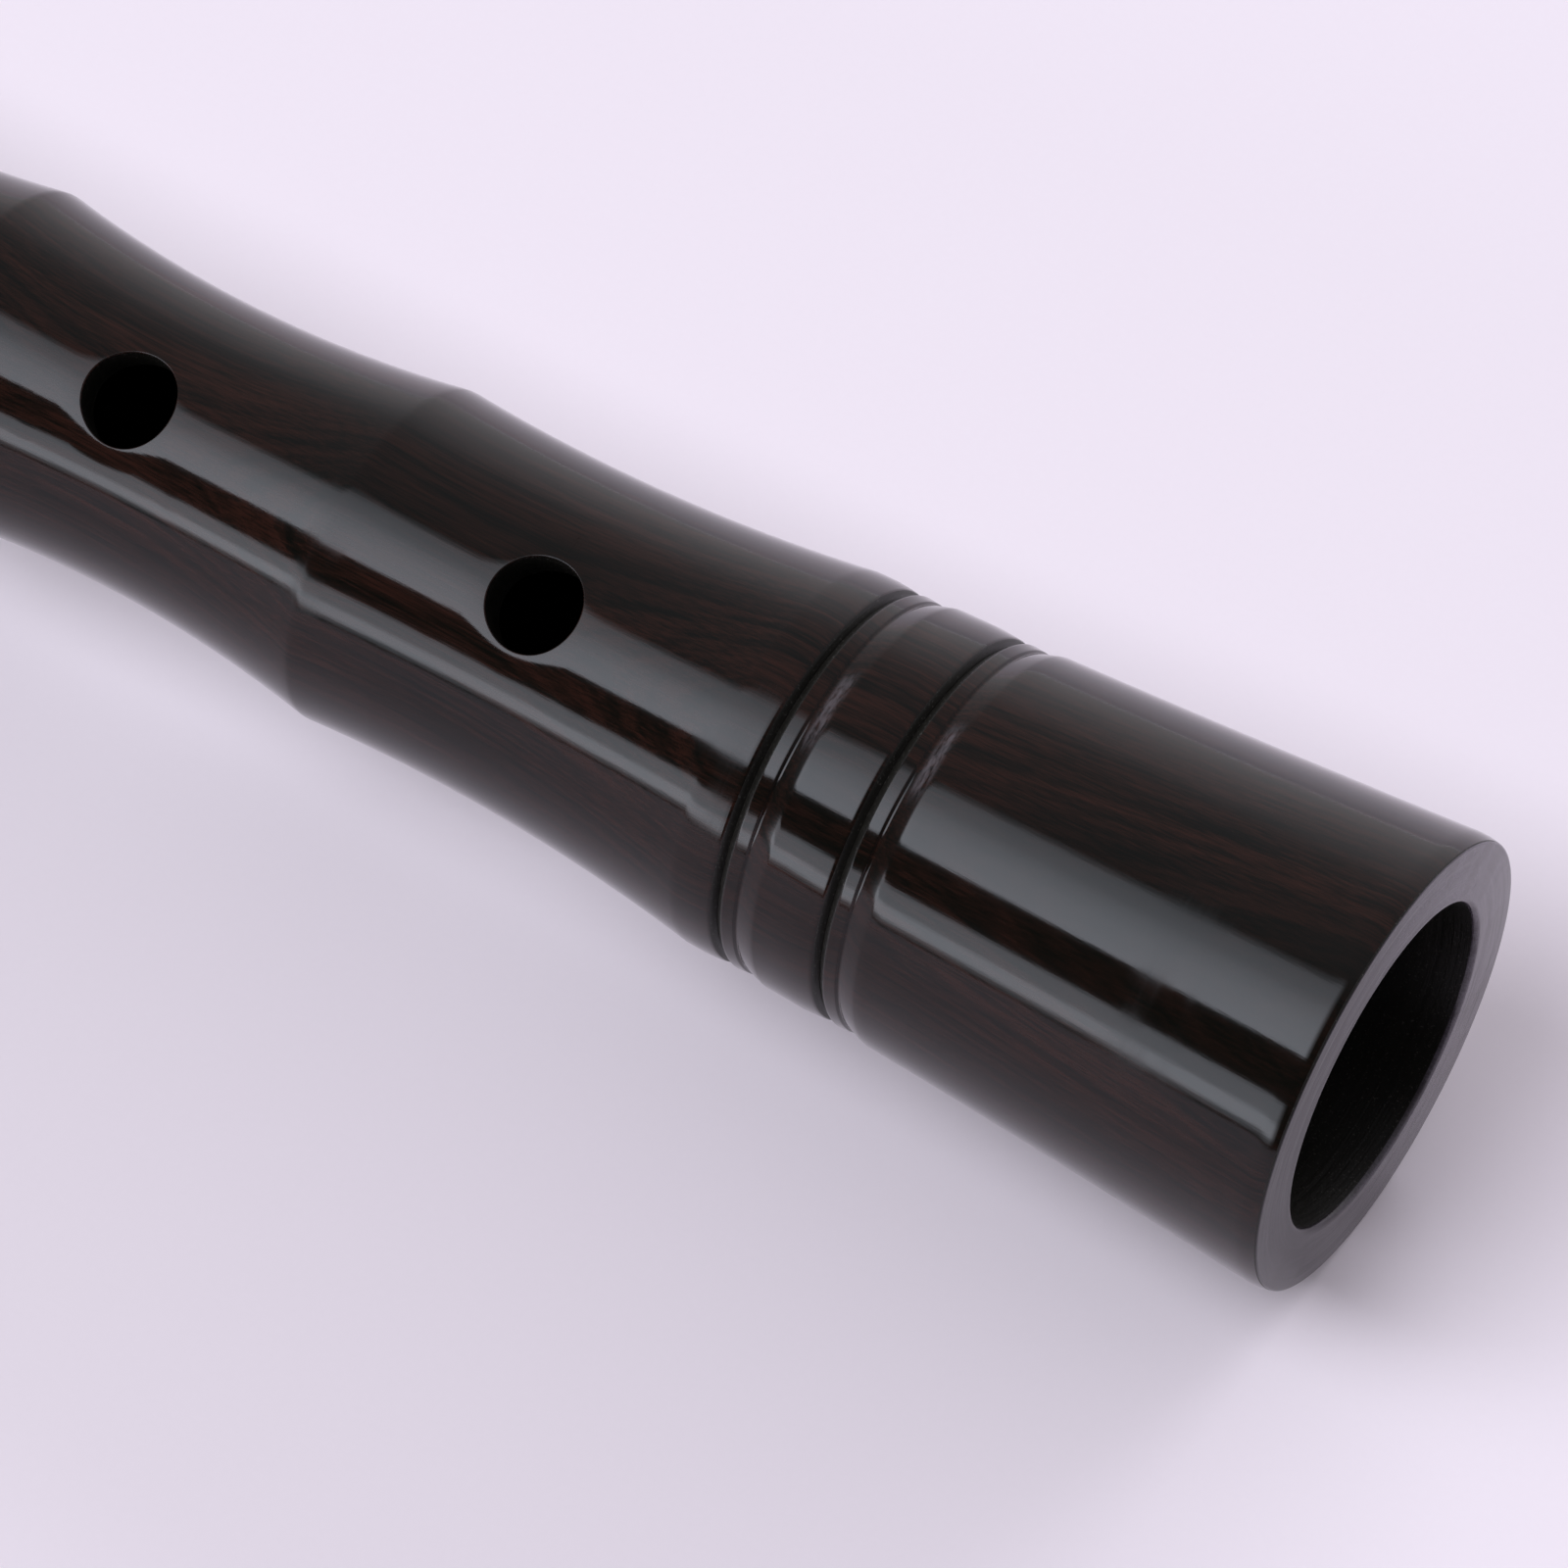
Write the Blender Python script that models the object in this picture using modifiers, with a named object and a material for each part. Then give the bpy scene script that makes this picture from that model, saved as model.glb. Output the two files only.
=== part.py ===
# Suona, a double-reed woodwind lying on its side with its bell drawn off.
# The instrument's axis runs along X. The open foot is at +X and the reed is at -X.
# It rests on the rim of its foot and on the rim of its lip disc.

import math

import bmesh
import bpy
from mathutils import Matrix, Vector

MM = 0.001

# Fits between pieces
SEAT_GAP = 0.3 * MM

# Wooden stem, with stations measured up the stem from its foot
STEM_LENGTH = 320.0 * MM
FOOT_RADIUS = 15.0 * MM
FOOT_BORE_RADIUS = 10.7 * MM
FOOT_EDGE_ROUND = 0.35 * MM
FOOT_FLARE_DEPTH = 0.11 * MM
STEM_SIDES = 40

# Ornament rings that mark where the bell's collar ends, each a cut line with a fine bead below it
LOWER_RING_STATION = 31.85 * MM
LOWER_RING_RADIUS = 12.95 * MM
UPPER_RING_STATION = 38.97 * MM
UPPER_RING_RADIUS = 12.74 * MM
RING_LINE_WIDTH = 0.6 * MM
RING_LINE_DEPTH = 0.35 * MM
RING_BEAD_WIDTH = 1.8 * MM
RING_SCRATCH_WIDTH = 0.5 * MM
RING_SCRATCH_DEPTH = 0.15 * MM
SHOULDER_STATION = 42.0 * MM
SHOULDER_RADIUS = 12.55 * MM
SHOULDER_WAIST_DEPTH = 0.8 * MM

# Bamboo-like nodes, with a hollow waist between each two
NODE_COUNT = 8
FIRST_NODE_STATION = 70.9 * MM
FIRST_NODE_RADIUS = 11.3 * MM
NODE_TAPER = 0.3 * MM
WAIST_DEPTH = 1.28 * MM
WAIST_DEPTH_TAPER = 0.05 * MM
WAIST_POINTS = 6

# Finger holes, at one pitch, with the thumb's hole on the back
HOLE_COUNT = 8
THUMB_HOLE = 6
FIRST_HOLE_STATION = 56.85 * MM
HOLE_PITCH = 30.25 * MM
HOLE_RADIUS = 3.08 * MM
HOLE_TILT = math.radians(-25.5)
HOLE_SIDES = 24
HOLE_REACH = 2.0 * MM

# Conical bore, flared at the foot, and the socket at its top
BORE_CONE_FOOT_RADIUS = 8.8 * MM
BORE_TOP_RADIUS = 4.2 * MM
BORE_FLARE_LENGTH = 48.0 * MM
BORE_POINTS = 5
SOCKET_DEPTH = 26.0 * MM

# Head of the stem and its brass ferrule
FERRULE_LENGTH = 16.0 * MM
FERRULE_WALL = 0.7 * MM
FERRULE_SEAT_RADIUS = 8.6 * MM
FERRULE_BEAD_HEIGHT = 0.45 * MM
FERRULE_BEAD_WIDTH = 1.8 * MM
HEAD_SHOULDER_RADIUS = 9.3 * MM
HEAD_WAIST_DEPTH = 0.5 * MM

# Tuning sleeve in the socket
SLEEVE_WALL = 0.5 * MM
SLEEVE_FLANGE_RADIUS = 7.6 * MM
SLEEVE_FLANGE_THICKNESS = 1.2 * MM
SLEEVE_NECK_LENGTH = 11.0 * MM
SLEEVE_RIM_HEIGHT = 0.5 * MM
SLEEVE_RIM_WIDTH = 1.6 * MM
SLEEVE_CORK_THICKNESS = 0.8 * MM
SLEEVE_CORK_LENGTH = 20.0 * MM

# Staple that slides in the sleeve
STAPLE_FOOT_RADIUS = 3.2 * MM
STAPLE_TIP_RADIUS = 1.9 * MM
STAPLE_WALL = 0.5 * MM
STAPLE_TAPER_LENGTH = 26.0 * MM
STAPLE_CORK_THICKNESS = 0.7 * MM
STAPLE_CORK_LENGTH = 13.0 * MM
STAPLE_CORK_OFFSET = 1.0 * MM
TUNING_TRAVEL = 12.0 * MM
KEPT_CORK_LENGTH = 2.0 * MM

# Hollow beads on the staple
LOWER_BEAD_RADIUS = 8.0 * MM
LOWER_BEAD_COLLAR_RADIUS = 4.7 * MM
UPPER_BEAD_RADIUS = 6.0 * MM
UPPER_BEAD_COLLAR_RADIUS = 4.3 * MM
BEAD_WALL = 0.7 * MM
BEAD_COLLAR_LENGTH = 1.2 * MM
BEAD_POINTS = 9

# Lip disc and its hub
DISC_RADIUS = FOOT_RADIUS
DISC_THICKNESS = 0.8 * MM
DISC_DISH = 1.2 * MM
DISC_RIM_WIDTH = 1.6 * MM
DISC_POINTS = 5
DISC_SIDES = 40
HUB_OFFSET = 3.0 * MM
HUB_LENGTH = 5.0 * MM
HUB_WALL = 1.3 * MM
HUB_SPIGOT_WALL = 0.6 * MM
HUB_SPIGOT_LENGTH = 1.3 * MM

# Cane reed on the staple's tip
REED_LENGTH = 24.0 * MM
REED_SEAT = 8.0 * MM
REED_BASE_RADIUS = 3.3 * MM
REED_TIP_WIDTH = 10.5 * MM
REED_TIP_THICKNESS = 1.5 * MM
REED_TIP_WALL = 0.4 * MM
REED_SECTIONS = 6
REED_SIDES = 28

# Copper wire round the reed's base
WIRE_RADIUS = 0.22 * MM
WIRE_PITCH = 0.9 * MM
WIRE_LOOPS = 6
WIRE_LOOP_POINTS = 24
WIRE_OFFSET = 1.2 * MM
WIRE_LEAST_GAP = 0.4 * MM

FITTING_SIDES = 32
SMOOTH_ANGLE = math.radians(25)
WELD_DISTANCE = 0.01 * MM

# Places worked out from the sizes above, as stations up the instrument's axis
SOCKET_FLOOR = STEM_LENGTH - SOCKET_DEPTH
FERRULE_FOOT = STEM_LENGTH - FERRULE_LENGTH
FLANGE_FOOT = STEM_LENGTH + SEAT_GAP
SLEEVE_TOP = FLANGE_FOOT + SLEEVE_FLANGE_THICKNESS + SLEEVE_NECK_LENGTH
STAPLE_CORK_RADIUS = STAPLE_FOOT_RADIUS + SEAT_GAP + STAPLE_CORK_THICKNESS
SLEEVE_BORE_RADIUS = STAPLE_CORK_RADIUS + SEAT_GAP
SLEEVE_RADIUS = SLEEVE_BORE_RADIUS + SLEEVE_WALL
SLEEVE_CORK_RADIUS = SLEEVE_RADIUS + SEAT_GAP + SLEEVE_CORK_THICKNESS
SOCKET_RADIUS = SLEEVE_CORK_RADIUS + SEAT_GAP
FERRULE_BORE_RADIUS = FERRULE_SEAT_RADIUS + SEAT_GAP
STAPLE_INSERTION = STAPLE_CORK_OFFSET + STAPLE_CORK_LENGTH + TUNING_TRAVEL + KEPT_CORK_LENGTH
STAPLE_FOOT = SLEEVE_TOP - STAPLE_INSERTION
BEAD_BORE_RADIUS = STAPLE_FOOT_RADIUS + SEAT_GAP
LOWER_BEAD_HALF = math.sqrt(LOWER_BEAD_RADIUS ** 2 - LOWER_BEAD_COLLAR_RADIUS ** 2)
UPPER_BEAD_HALF = math.sqrt(UPPER_BEAD_RADIUS ** 2 - UPPER_BEAD_COLLAR_RADIUS ** 2)
LOWER_BEAD_MIDDLE = SLEEVE_TOP + SEAT_GAP + LOWER_BEAD_HALF
UPPER_BEAD_MIDDLE = LOWER_BEAD_MIDDLE + LOWER_BEAD_HALF + SEAT_GAP + UPPER_BEAD_HALF
STAPLE_SHOULDER = UPPER_BEAD_MIDDLE + UPPER_BEAD_HALF
STAPLE_TIP = STAPLE_SHOULDER + STAPLE_TAPER_LENGTH
HUB_FOOT = STAPLE_SHOULDER + HUB_OFFSET
DISC_SEAT = HUB_FOOT + HUB_LENGTH
REED_FOOT = STAPLE_TIP - REED_SEAT
REED_TOP = REED_FOOT + REED_LENGTH
FOOT_X = REED_TOP / 2


def remove_everything():
    for obj in list(bpy.data.objects):
        bpy.data.objects.remove(obj, do_unlink=True)


def collection(name):
    made = bpy.data.collections.new(name)
    bpy.context.scene.collection.children.link(made)
    return made


def material(name, colour, roughness, metallic):
    made = bpy.data.materials.new(name)
    made.use_nodes = True
    shader = made.node_tree.nodes["Principled BSDF"]
    shader.inputs["Base Color"].default_value = (*colour, 1.0)
    shader.inputs["Roughness"].default_value = roughness
    shader.inputs["Metallic"].default_value = metallic
    made.diffuse_color = (*colour, 1.0)
    return made


def place(obj, group, finish, station):
    """Set a piece on the instrument's axis at its station up the stem."""
    group.objects.link(obj)
    obj.parent = axis_empty
    obj.location = (0.0, 0.0, station)
    obj.data.materials.append(finish)


def turned(name, outline, sides, finish, station=0.0):
    """Turn a closed outline of (radius, height) points about the axis.

    The facets stand tangent to the true circle, so the sizes hold across the flats,
    and half a step of turn lays one flat facet on the table.
    """
    across_flats = 1.0 / math.cos(math.pi / sides)
    mesh = bpy.data.meshes.new(name)
    bm = bmesh.new()
    verts = [bm.verts.new((radius * across_flats, 0.0, height)) for radius, height in outline]
    for first, second in zip(verts, verts[1:] + verts[:1]):
        bm.edges.new((first, second))
    bm.to_mesh(mesh)
    bm.free()
    obj = bpy.data.objects.new(name, mesh)
    place(obj, parts, finish, station)
    obj.rotation_euler.z = math.pi / sides
    screw = obj.modifiers.new("Turn", "SCREW")
    screw.axis = "Z"
    screw.angle = math.tau
    screw.steps = sides
    screw.render_steps = sides
    screw.use_merge_vertices = True
    screw.merge_threshold = WELD_DISTANCE
    screw.use_smooth_shade = True
    return obj


def bake(obj):
    """Replace a piece's mesh with its evaluated one, shaded smooth up to its sharp edges."""
    bpy.context.view_layer.update()
    evaluated = obj.evaluated_get(bpy.context.evaluated_depsgraph_get())
    mesh = bpy.data.meshes.new_from_object(evaluated)
    obj.modifiers.clear()
    obj.data = mesh
    mesh.shade_smooth()
    mesh.set_sharp_from_angle(angle=SMOOTH_ANGLE)


def arc(start, end, start_radius, end_radius, depth, count):
    """Points of a hollow waist between two stations, without its end point."""
    points = []
    for step in range(count):
        share = step / count
        station = start + (end - start) * share
        straight = start_radius + (end_radius - start_radius) * share
        points.append((straight - depth * 4 * share * (1 - share), station))
    return points


def node_station(index):
    return FIRST_NODE_STATION + HOLE_PITCH * index


def node_radius(index):
    return FIRST_NODE_RADIUS - NODE_TAPER * index


def ring(station, radius):
    """An ornament ring from its lower side up: a fine scratch, a bead and a cut line."""
    scratch = station - RING_BEAD_WIDTH
    return [
        (radius, scratch - RING_SCRATCH_WIDTH / 2),
        (radius - RING_SCRATCH_DEPTH, scratch),
        (radius, scratch + RING_SCRATCH_WIDTH / 2),
        (radius, station - RING_LINE_WIDTH / 2),
        (radius - RING_LINE_DEPTH, station),
        (radius, station + RING_LINE_WIDTH / 2),
    ]


def stem_outside():
    """The stem's outer side from the foot's edge up to the ferrule's seat."""
    lower_ring = ring(LOWER_RING_STATION, LOWER_RING_RADIUS)
    upper_ring = ring(UPPER_RING_STATION, UPPER_RING_RADIUS)
    edge = [(FOOT_RADIUS - FOOT_EDGE_ROUND, 0.0)]
    flare = arc(FOOT_EDGE_ROUND, lower_ring[0][1], FOOT_RADIUS, LOWER_RING_RADIUS, FOOT_FLARE_DEPTH, 5)
    points = edge + flare + lower_ring + upper_ring
    points += arc(SHOULDER_STATION, FIRST_NODE_STATION, SHOULDER_RADIUS, FIRST_NODE_RADIUS,
                  SHOULDER_WAIST_DEPTH, WAIST_POINTS)
    for index in range(NODE_COUNT - 1):
        depth = WAIST_DEPTH - WAIST_DEPTH_TAPER * index
        points += arc(node_station(index), node_station(index + 1), node_radius(index),
                      node_radius(index + 1), depth, WAIST_POINTS)
    last = NODE_COUNT - 1
    points += arc(node_station(last), FERRULE_FOOT, node_radius(last), HEAD_SHOULDER_RADIUS,
                  HEAD_WAIST_DEPTH, WAIST_POINTS)
    points += [(HEAD_SHOULDER_RADIUS, FERRULE_FOOT), (FERRULE_SEAT_RADIUS, FERRULE_FOOT)]
    return points


def bore_radius(station):
    """Radius of the conical bore, which flares towards the foot."""
    share = station / SOCKET_FLOOR
    cone = BORE_CONE_FOOT_RADIUS + (BORE_TOP_RADIUS - BORE_CONE_FOOT_RADIUS) * share
    flare = max(0.0, 1 - station / BORE_FLARE_LENGTH) ** 2
    return cone + (FOOT_BORE_RADIUS - BORE_CONE_FOOT_RADIUS) * flare


def make_stem():
    top = [(SOCKET_RADIUS, STEM_LENGTH), (FERRULE_SEAT_RADIUS, STEM_LENGTH)]
    flare_stations = [BORE_FLARE_LENGTH * step / BORE_POINTS for step in range(BORE_POINTS + 1)]
    bore = [(bore_radius(station), station) for station in flare_stations + [SOCKET_FLOOR]]
    socket = [(SOCKET_RADIUS, SOCKET_FLOOR)]
    outline = top + stem_outside()[::-1] + bore + socket
    stem = turned("stem", outline, STEM_SIDES, blackwood)
    for index in range(HOLE_COUNT):
        station = FIRST_HOLE_STATION + HOLE_PITCH * index
        tilt = HOLE_TILT + (math.pi if index == THUMB_HOLE else 0.0)
        cut = stem.modifiers.new(f"Hole {index + 1}", "BOOLEAN")
        cut.operation = "DIFFERENCE"
        cut.object = hole_cutter(f"hole_cutter_{index + 1}", station, tilt)
    bake(stem)


def hole_cutter(name, station, tilt):
    """A round cutter through one wall of the stem, pointing out along the hole."""
    inner = bore_radius(station) - HOLE_RADIUS - HOLE_REACH
    outer = FOOT_RADIUS + HOLE_REACH
    mesh = bpy.data.meshes.new(name)
    bm = bmesh.new()
    bmesh.ops.create_cone(bm, cap_ends=True, segments=HOLE_SIDES, radius1=HOLE_RADIUS,
                          radius2=HOLE_RADIUS, depth=outer - inner)
    bm.to_mesh(mesh)
    bm.free()
    obj = bpy.data.objects.new(name, mesh)
    place(obj, cutters, blackwood, station)
    outwards = Matrix.Rotation(tilt, 4, "Z") @ Matrix.Rotation(math.pi / 2, 4, "Y")
    obj.matrix_local = (Matrix.Translation((0.0, 0.0, station)) @ outwards
                        @ Matrix.Translation((0.0, 0.0, (outer + inner) / 2)))
    obj.hide_render = True
    obj.display_type = "WIRE"
    return obj


def make_ferrule():
    """Brass ring pressed over the head of the stem, with a rolled bead at each end."""
    length = FERRULE_LENGTH - SEAT_GAP
    wall = FERRULE_BORE_RADIUS + FERRULE_WALL
    bead = wall + FERRULE_BEAD_HEIGHT
    outline = [
        (FERRULE_BORE_RADIUS, length),
        (wall, length),
        (bead, length - FERRULE_BEAD_WIDTH * 0.25),
        (bead, length - FERRULE_BEAD_WIDTH * 0.75),
        (wall, length - FERRULE_BEAD_WIDTH),
        (wall, FERRULE_BEAD_WIDTH),
        (bead, FERRULE_BEAD_WIDTH * 0.75),
        (bead, FERRULE_BEAD_WIDTH * 0.25),
        (wall, 0.0),
        (FERRULE_BORE_RADIUS, 0.0),
    ]
    bake(turned("stem_ferrule", outline, STEM_SIDES, brass, FERRULE_FOOT + SEAT_GAP))


def make_sleeve():
    """Flanged brass tube that seats in the stem's socket and guides the staple."""
    foot = SOCKET_FLOOR + SEAT_GAP - FLANGE_FOOT
    top = SLEEVE_TOP - FLANGE_FOOT
    rim = SLEEVE_RADIUS + SLEEVE_RIM_HEIGHT
    outline = [
        (SLEEVE_BORE_RADIUS, top),
        (SLEEVE_RADIUS, top),
        (rim, top - SLEEVE_RIM_WIDTH * 0.25),
        (rim, top - SLEEVE_RIM_WIDTH * 0.75),
        (SLEEVE_RADIUS, top - SLEEVE_RIM_WIDTH),
        (SLEEVE_RADIUS, SLEEVE_FLANGE_THICKNESS),
        (SLEEVE_FLANGE_RADIUS, SLEEVE_FLANGE_THICKNESS),
        (SLEEVE_FLANGE_RADIUS, 0.0),
        (SLEEVE_RADIUS, 0.0),
        (SLEEVE_RADIUS, foot),
        (SLEEVE_BORE_RADIUS, foot),
    ]
    bake(turned("tuning_sleeve", outline, FITTING_SIDES, brass, FLANGE_FOOT))


def make_cork(name, inner_radius, thickness, length, station):
    """A cork lapping, a plain ring round a tube."""
    outer_radius = inner_radius + thickness
    outline = [(inner_radius, length), (outer_radius, length), (outer_radius, 0.0), (inner_radius, 0.0)]
    bake(turned(name, outline, FITTING_SIDES, cork, station))


def staple_radius(station):
    """Outer radius of the staple, straight in the sleeve and conical above the beads."""
    share = min(1.0, max(0.0, (station - STAPLE_SHOULDER) / STAPLE_TAPER_LENGTH))
    return STAPLE_FOOT_RADIUS + (STAPLE_TIP_RADIUS - STAPLE_FOOT_RADIUS) * share


def make_staple():
    stations = [STAPLE_TIP, STAPLE_SHOULDER, STAPLE_FOOT]
    outside = [(staple_radius(station), station - STAPLE_FOOT) for station in stations]
    inside = [(radius - STAPLE_WALL, height) for radius, height in reversed(outside)]
    bake(turned("staple", outside + inside, FITTING_SIDES, brass, STAPLE_FOOT))


def make_bead(name, radius, collar_radius, half_length, middle):
    """A hollow brass bead with a flat collar at each end, threaded on the staple."""
    cavity_radius = radius - BEAD_WALL
    cavity_half = half_length - BEAD_COLLAR_LENGTH
    outside_angle = math.asin(half_length / radius)
    inside_angle = math.asin(cavity_half / cavity_radius)
    outline = []
    for step in range(BEAD_POINTS + 1):
        angle = outside_angle * (1 - 2 * step / BEAD_POINTS)
        outline.append((radius * math.cos(angle), radius * math.sin(angle)))
    outline += [(BEAD_BORE_RADIUS, -half_length), (BEAD_BORE_RADIUS, -cavity_half)]
    for step in range(BEAD_POINTS + 1):
        angle = inside_angle * (2 * step / BEAD_POINTS - 1)
        outline.append((cavity_radius * math.cos(angle), cavity_radius * math.sin(angle)))
    outline += [(BEAD_BORE_RADIUS, cavity_half), (BEAD_BORE_RADIUS, half_length)]
    bake(turned(name, outline, FITTING_SIDES, brass, middle))


def hub_bore(station):
    return staple_radius(station) + SEAT_GAP


def make_hub():
    """Brass collar on the staple's cone, whose spigot carries the disc."""
    spigot_top = DISC_SEAT + HUB_SPIGOT_LENGTH
    spigot_radius = hub_bore(DISC_SEAT) + HUB_SPIGOT_WALL
    hub_radius = hub_bore(HUB_FOOT) + HUB_WALL
    outline = [
        (hub_bore(spigot_top), spigot_top - HUB_FOOT),
        (spigot_radius, spigot_top - HUB_FOOT),
        (spigot_radius, HUB_LENGTH),
        (hub_radius, HUB_LENGTH),
        (hub_radius, 0.0),
        (hub_bore(HUB_FOOT), 0.0),
    ]
    bake(turned("disc_hub", outline, FITTING_SIDES, brass, HUB_FOOT))


def make_disc():
    """Thin dished disc whose outer rim is flat, seated on the hub's shoulder."""
    bore = hub_bore(DISC_SEAT) + HUB_SPIGOT_WALL + SEAT_GAP
    flat_start = DISC_RADIUS - DISC_RIM_WIDTH
    upper = []
    for step in range(DISC_POINTS + 1):
        share = step / DISC_POINTS
        upper.append((bore + (flat_start - bore) * share, DISC_DISH * share * share))
    upper.append((DISC_RADIUS, DISC_DISH))
    lower = upper[::-1]
    outline = [(radius, height + DISC_THICKNESS) for radius, height in upper] + lower
    bake(turned("air_disc", outline, DISC_SIDES, brass, DISC_SEAT + SEAT_GAP))


def reed_half_widths(height):
    """Half width and half thickness of the reed's outside at a height above its foot."""
    share = max(0.0, (height - REED_SEAT) / (REED_LENGTH - REED_SEAT))
    eased = share * share * (3 - 2 * share)
    half_width = REED_BASE_RADIUS + (REED_TIP_WIDTH / 2 - REED_BASE_RADIUS) * eased
    half_thickness = REED_BASE_RADIUS + (REED_TIP_THICKNESS / 2 - REED_BASE_RADIUS) * eased
    return half_width, half_thickness


def reed_wall(height):
    """Wall of the reed, from the staple's clearance at its foot to the scraped tip."""
    bore = staple_radius(REED_FOOT) + SEAT_GAP
    seat_wall = REED_BASE_RADIUS - bore
    share = max(0.0, (height - REED_SEAT) / (REED_LENGTH - REED_SEAT))
    return seat_wall + (REED_TIP_WALL - seat_wall) * min(1.0, 2 * share)


def make_reed():
    """A cane tube, round at its foot and pressed to a flat fan at its tip."""
    mesh = bpy.data.meshes.new("reed")
    bm = bmesh.new()
    blade_heights = [REED_SEAT + (REED_LENGTH - REED_SEAT) * step / REED_SECTIONS
                     for step in range(REED_SECTIONS + 1)]
    heights = [0.0] + blade_heights
    sections = [(height, 0.0) for height in heights]
    sections += [(height, reed_wall(height)) for height in reversed(heights)]
    loops = []
    for height, wall in sections:
        half_width, half_thickness = reed_half_widths(height)
        shape = Matrix.Diagonal((half_width - wall, half_thickness - wall, 1.0, 1.0))
        circle = bmesh.ops.create_circle(bm, segments=REED_SIDES, radius=1.0,
                                         matrix=Matrix.Translation((0.0, 0.0, height)) @ shape)
        loops.append(list({edge for vert in circle["verts"] for edge in vert.link_edges}))
    for first, second in zip(loops, loops[1:] + loops[:1]):
        bmesh.ops.bridge_loops(bm, edges=first + second)
    bmesh.ops.recalc_face_normals(bm, faces=bm.faces)
    bm.to_mesh(mesh)
    bm.free()
    mesh.shade_smooth()
    mesh.set_sharp_from_angle(angle=SMOOTH_ANGLE)
    reed = bpy.data.objects.new("reed", mesh)
    place(reed, parts, cane, REED_FOOT)
    reed.rotation_euler.z = HOLE_TILT + math.pi / 2


def wire_points():
    """Centre line of the wound wire, whose two ends leave the coil straight."""
    radius = REED_BASE_RADIUS + SEAT_GAP + WIRE_RADIUS
    points = []
    for step in range(WIRE_LOOPS * WIRE_LOOP_POINTS + 1):
        turn = step / WIRE_LOOP_POINTS
        angle = math.tau * turn
        points.append(Vector((radius * math.cos(angle), radius * math.sin(angle), WIRE_PITCH * turn)))
    for near, end in ((points[1], 0), (points[-2], len(points))):
        tip = points[0] if end == 0 else points[-1]
        tangent = (tip - near).normalized() * 2 * WIRE_RADIUS
        points.insert(end, tip + tangent)
    return points


def least_gap(points):
    """Least gap of the wound wire to itself, measured between points half a loop or more apart."""
    apart = WIRE_LOOP_POINTS // 2
    distances = [(first - second).length
                 for index, first in enumerate(points)
                 for second in points[index + apart:]]
    return min(distances) - 2 * WIRE_RADIUS


def make_wire():
    """Copper wire wound in one unbroken coil round the reed's base."""
    points = wire_points()
    print(f"least gap of the reed wire to itself: {least_gap(points) / MM:.3f} mm, "
          f"and it should be over {WIRE_LEAST_GAP / MM:.1f} mm")
    curve = bpy.data.curves.new("reed_wire", "CURVE")
    curve.dimensions = "3D"
    curve.bevel_depth = WIRE_RADIUS
    curve.bevel_resolution = 1
    curve.use_fill_caps = True
    spline = curve.splines.new("POLY")
    spline.points.add(len(points) - 1)
    for spline_point, point in zip(spline.points, points):
        spline_point.co = (*point, 1.0)
    wire = bpy.data.objects.new("reed_wire", curve)
    place(wire, parts, copper, REED_FOOT + WIRE_OFFSET)


remove_everything()
parts = collection("suona")
cutters = collection("cutters")

axis_empty = bpy.data.objects.new("instrument_axis", None)
parts.objects.link(axis_empty)
axis_empty.location = (FOOT_X, 0.0, FOOT_RADIUS)
axis_empty.rotation_euler = (0.0, -math.pi / 2, 0.0)

blackwood = material("blackwood", (0.022, 0.012, 0.010), 0.25, 0.0)
brass = material("brass", (0.72, 0.50, 0.20), 0.28, 1.0)
cork = material("cork", (0.45, 0.27, 0.14), 0.85, 0.0)
cane = material("cane", (0.62, 0.45, 0.20), 0.55, 0.0)
copper = material("copper", (0.80, 0.36, 0.20), 0.30, 1.0)

make_stem()
make_ferrule()
make_sleeve()
make_cork("sleeve_cork", SLEEVE_RADIUS + SEAT_GAP, SLEEVE_CORK_THICKNESS, SLEEVE_CORK_LENGTH,
          STEM_LENGTH - SEAT_GAP - SLEEVE_CORK_LENGTH)
make_staple()
make_cork("staple_cork", STAPLE_FOOT_RADIUS + SEAT_GAP, STAPLE_CORK_THICKNESS, STAPLE_CORK_LENGTH,
          STAPLE_FOOT + STAPLE_CORK_OFFSET)
make_bead("lower_bead", LOWER_BEAD_RADIUS, LOWER_BEAD_COLLAR_RADIUS, LOWER_BEAD_HALF, LOWER_BEAD_MIDDLE)
make_bead("upper_bead", UPPER_BEAD_RADIUS, UPPER_BEAD_COLLAR_RADIUS, UPPER_BEAD_HALF, UPPER_BEAD_MIDDLE)
make_hub()
make_disc()
make_reed()
make_wire()
bpy.context.view_layer.update()
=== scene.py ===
import math

import bmesh
import bpy
from mathutils import Matrix, Vector


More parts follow.
